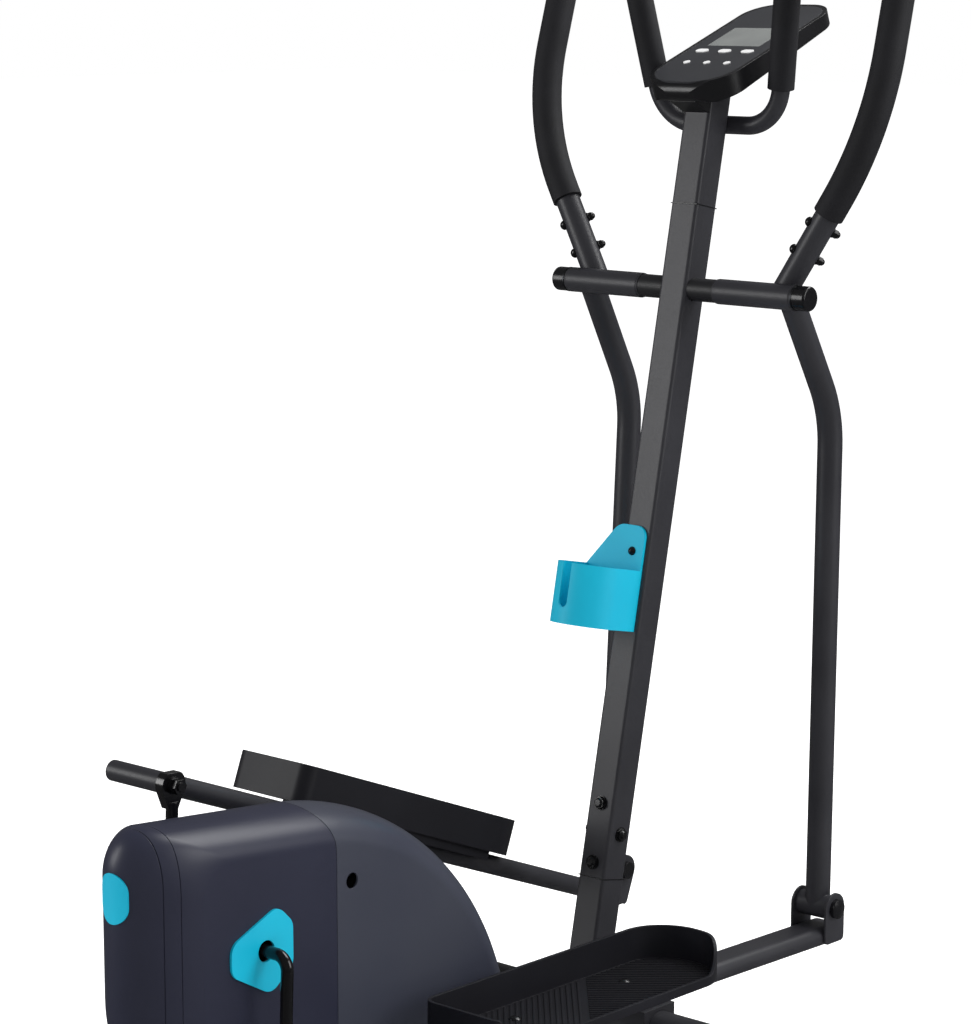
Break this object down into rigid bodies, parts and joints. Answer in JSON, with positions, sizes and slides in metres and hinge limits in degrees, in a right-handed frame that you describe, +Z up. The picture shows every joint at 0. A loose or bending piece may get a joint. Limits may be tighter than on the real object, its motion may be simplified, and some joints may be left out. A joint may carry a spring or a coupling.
{
  "type": "elliptical trainer",
  "caption": "Front-mast elliptical trainer with two swinging handle arms, two pedal arms on a rear crank, a closed drive housing, a tilted console and a bottle cup.",
  "frame": {"origin": "on the floor, on the middle plane, below the middle of the length", "axes": "+X is forward from the housing to the mast, +Y is the user's left, +Z is up"},
  "size_m": [1.1764, 0.57, 1.5705],
  "materials": {
    "black_metal": "gloss",
    "black_plastic": "gloss",
    "cast": "machined",
    "cyan": "satin",
    "face": "satin",
    "foam": "matte",
    "frame_dark": "satin",
    "housing_front": "satin",
    "housing_rear": "fine texture",
    "key": "satin",
    "nylon": "satin",
    "pedal": "satin",
    "screen": "gloss",
    "steel": "satin",
    "tube": "satin",
    "wheel": "matte"
  },
  "bodies": {
    "frame": {"main_beam": "tube", "front_stabiliser": "tube", "rear_stabiliser": "tube", "stabiliser_bolts": "steel", "stabiliser_end_caps": "black_plastic", "mast_base": "tube", "lower_mast": "tube", "upper_mast": "tube", "mast_bolts": "black_metal", "crossbar_axle": "black_metal", "axle_washers": "steel", "axle_caps": "black_plastic", "bearing_cups": "steel", "drive_belt": "foam", "drive_frame": "frame_dark", "left_rear_shell": "housing_rear", "right_rear_shell": "housing_rear", "left_front_shell": "housing_front", "right_front_shell": "housing_front", "rear_end_cap": "housing_rear", "rear_badge": "cyan", "crank_covers": "cyan", "shell_screws": "black_metal", "bottle_holder": "cyan", "fixed_handlebar": "tube", "handlebar_grips": "foam", "console_shell": "black_plastic", "console_face": "face", "console_screen": "screen"},
    "crank_set": {"crank": "black_metal", "crank_pins": "black_metal", "drive_pulley": "nylon"},
    "left_pedal_link": {"left_pedal_arm": "tube", "left_pedal": "pedal", "left_pedal_fittings": "black_plastic"},
    "left_swing": {"left_swing_arm": "tube", "left_arm_bushes": "nylon", "left_handle": "tube", "left_handle_grip": "foam", "left_arm_bolts": "black_metal"},
    "left_wheel": {"left_transport_wheel": "wheel"},
    "right_pedal_link": {"right_pedal_arm": "tube", "right_pedal": "pedal", "right_pedal_fittings": "black_plastic"},
    "right_swing": {"right_swing_arm": "tube", "right_arm_bushes": "nylon", "right_handle": "tube", "right_handle_grip": "foam", "right_arm_bolts": "black_metal"},
    "right_wheel": {"right_transport_wheel": "wheel"},
    "flywheel_body": {"flywheel": "cast"},
    "idler_body": {"idler_roller": "nylon"},
    "magnet_body": {"magnet_arm": "frame_dark"},
    "left_upper_key_body": {"left_upper_key": "key"},
    "middle_upper_key_body": {"middle_upper_key": "key"},
    "right_upper_key_body": {"right_upper_key": "key"},
    "left_lower_key_body": {"left_lower_key": "key"},
    "middle_lower_key_body": {"middle_lower_key": "key"},
    "right_lower_key_body": {"right_lower_key": "key"}
  },
  "joints": [
    {"name": "crank_turn", "type": "hinge", "parent": "frame", "child": "crank_set", "pos_m": [-0.4237, 0, 0.309], "axis": [0, 1, 0], "range_deg": [-20, 20]},
    {"name": "left_pedal_arm_turn", "type": "hinge", "parent": "crank_set", "child": "left_pedal_link", "pos_m": [-0.41721, 0.1562, 0.46386], "axis": [0, 1, 0], "range_deg": [-20.47, 20.47]},
    {"name": "left_arm_swing", "type": "hinge", "parent": "frame", "child": "left_swing", "pos_m": [0.3503, 0.1562, 0.958], "axis": [0, 1, 0], "range_deg": [-4.17, 4.17]},
    {"name": "right_pedal_arm_turn", "type": "hinge", "parent": "crank_set", "child": "right_pedal_link", "pos_m": [-0.43019, -0.1562, 0.15414], "axis": [0, 1, 0], "range_deg": [-19.44, 19.44]},
    {"name": "right_arm_swing", "type": "hinge", "parent": "frame", "child": "right_swing", "pos_m": [0.3503, -0.1562, 0.958], "axis": [0, 1, 0], "range_deg": [-4, 4]},
    {"name": "flywheel_spin", "type": "hinge", "parent": "frame", "child": "flywheel_body", "pos_m": [-0.1937, 0, 0.238], "axis": [0, 1, 0], "range_deg": [-100.01, 100.01]},
    {"name": "idler_spin", "type": "hinge", "parent": "frame", "child": "idler_body", "pos_m": [-0.3017, 0.026, 0.19376], "axis": [0, 1, 0], "range_deg": [-153.3, 153.3]},
    {"name": "magnet_arm_tilt", "type": "hinge", "parent": "frame", "child": "magnet_body", "pos_m": [-0.0767, 0, 0.15], "axis": [0, 1, 0], "range_deg": [0, 6]},
    {"name": "left_transport_wheel_spin", "type": "hinge", "parent": "frame", "child": "left_wheel", "pos_m": [0.2963, 0.232, 0.029], "axis": [0, 1, 0], "continuous": true},
    {"name": "right_transport_wheel_spin", "type": "hinge", "parent": "frame", "child": "right_wheel", "pos_m": [0.2963, -0.232, 0.029], "axis": [0, 1, 0], "continuous": true},
    {"name": "right_upper_key_press", "type": "slide", "parent": "frame", "child": "right_upper_key_body", "axis": [0.3502, 0, -0.9367], "range_m": [0, 0.001], "stiffness_N_per_m": 1500},
    {"name": "middle_upper_key_press", "type": "slide", "parent": "frame", "child": "middle_upper_key_body", "axis": [0.3502, 0, -0.9367], "range_m": [0, 0.001], "stiffness_N_per_m": 1500},
    {"name": "left_upper_key_press", "type": "slide", "parent": "frame", "child": "left_upper_key_body", "axis": [0.3502, 0, -0.9367], "range_m": [0, 0.001], "stiffness_N_per_m": 1500},
    {"name": "right_lower_key_press", "type": "slide", "parent": "frame", "child": "right_lower_key_body", "axis": [0.3502, 0, -0.9367], "range_m": [0, 0.001], "stiffness_N_per_m": 1500},
    {"name": "middle_lower_key_press", "type": "slide", "parent": "frame", "child": "middle_lower_key_body", "axis": [0.3502, 0, -0.9367], "range_m": [0, 0.001], "stiffness_N_per_m": 1500},
    {"name": "left_lower_key_press", "type": "slide", "parent": "frame", "child": "left_lower_key_body", "axis": [0.3502, 0, -0.9367], "range_m": [0, 0.001], "stiffness_N_per_m": 1500}
  ],
  "couplings": [
    {"joint": "left_pedal_arm_turn", "follows": "crank_turn", "ratio": -1.0228},
    {"joint": "right_pedal_arm_turn", "follows": "crank_turn", "ratio": -0.97137},
    {"joint": "left_arm_swing", "follows": "crank_turn", "ratio": -0.2077},
    {"joint": "right_arm_swing", "follows": "crank_turn", "ratio": 0.19912},
    {"joint": "flywheel_spin", "follows": "crank_turn", "ratio": 5},
    {"joint": "idler_spin", "follows": "crank_turn", "ratio": -7.6643}
  ]
}
